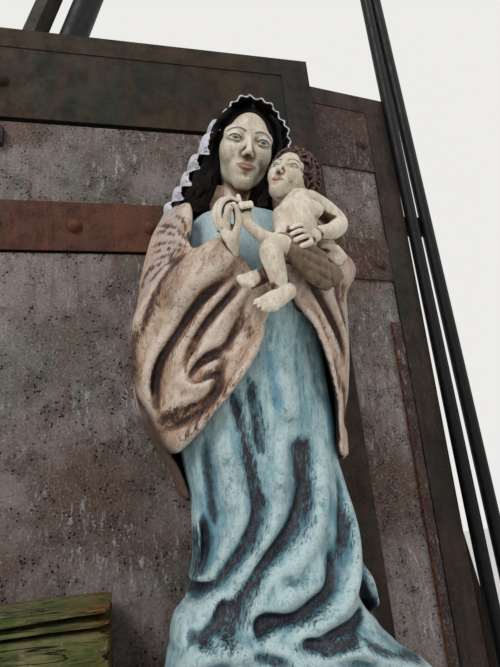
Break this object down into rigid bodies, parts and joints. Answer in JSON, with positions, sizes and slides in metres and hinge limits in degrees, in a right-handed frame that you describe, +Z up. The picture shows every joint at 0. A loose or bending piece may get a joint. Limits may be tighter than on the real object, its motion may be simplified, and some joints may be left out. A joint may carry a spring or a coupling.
{
  "type": "wayside shrine",
  "caption": "Painted mother and child figure on a timber crib with an offering shelf, in front of old riveted steel panels held by a steel trestle.",
  "frame": {"origin": "on the ground, under the figure's axis, on the crib's bottom face", "axes": "+Z up, -Y the way the figure faces, +X to the right as seen from the front"},
  "size_m": [1.8255, 0.6111, 2.7874],
  "materials": {
    "pitted_sheet_steel": "grey-purple pitted sheet steel with rust bloom and chalky marks",
    "rusted_strap_steel": "red-brown rusted flat steel with riveted heads",
    "weathered_rail_steel": "olive-brown weathered steel plate",
    "dark_trestle_steel": "dark weathered rolled steel",
    "black_tube_steel": "black painted steel tube",
    "weathered_oak": "weathered oak with green algae",
    "bare_cast_stone": "bare pitted cast stone",
    "blue_painted_stone": "worn light blue paint on pitted cast stone, dark wash in the folds",
    "tan_painted_stone": "worn tan paint on pitted cast stone, dark wash in the folds",
    "white_painted_stone": "worn white paint on cast stone",
    "dark_painted_stone": "black-brown paint on cast stone",
    "cream_painted_stone": "worn cream paint on cast stone with ochre shading"
  },
  "bodies": {
    "root": {"front_sheet": "pitted_sheet_steel", "front_left_stile": "weathered_rail_steel", "front_right_stile": "weathered_rail_steel", "front_top_strip": "weathered_rail_steel", "front_top_rail": "weathered_rail_steel", "front_middle_strap": "rusted_strap_steel", "front_low_strap": "rusted_strap_steel", "front_bottom_rail": "weathered_rail_steel", "front_lug": "weathered_rail_steel", "front_back_left": "weathered_rail_steel", "front_back_right": "weathered_rail_steel", "front_back_top": "weathered_rail_steel", "wing_sheet": "pitted_sheet_steel", "wing_right_stile": "weathered_rail_steel", "wing_left_stile": "weathered_rail_steel", "wing_top_strip": "weathered_rail_steel", "wing_top_rail": "weathered_rail_steel", "wing_middle_strap": "rusted_strap_steel", "wing_bottom_rail": "weathered_rail_steel", "raking_iron": "dark_trestle_steel", "raking_tube": "black_tube_steel", "raking_leg": "dark_trestle_steel", "trestle_upper_bar": "dark_trestle_steel", "trestle_lower_bar": "dark_trestle_steel", "packing_blocks": "weathered_oak", "left_tube": "black_tube_steel", "right_tube": "black_tube_steel", "shelf_cap": "weathered_oak", "shelf_beams": "weathered_oak", "crib_front": "weathered_oak", "crib_back": "weathered_oak", "figure_foot": "bare_cast_stone", "gown": "blue_painted_stone", "mantle": "tan_painted_stone", "veil": "white_painted_stone", "hair": "dark_painted_stone", "head": "cream_painted_stone", "raised_hand": "cream_painted_stone", "holding_hand": "cream_painted_stone", "child_head": "cream_painted_stone", "child_body": "cream_painted_stone", "child_arms": "cream_painted_stone", "child_legs": "cream_painted_stone"}
  },
  "joints": []
}
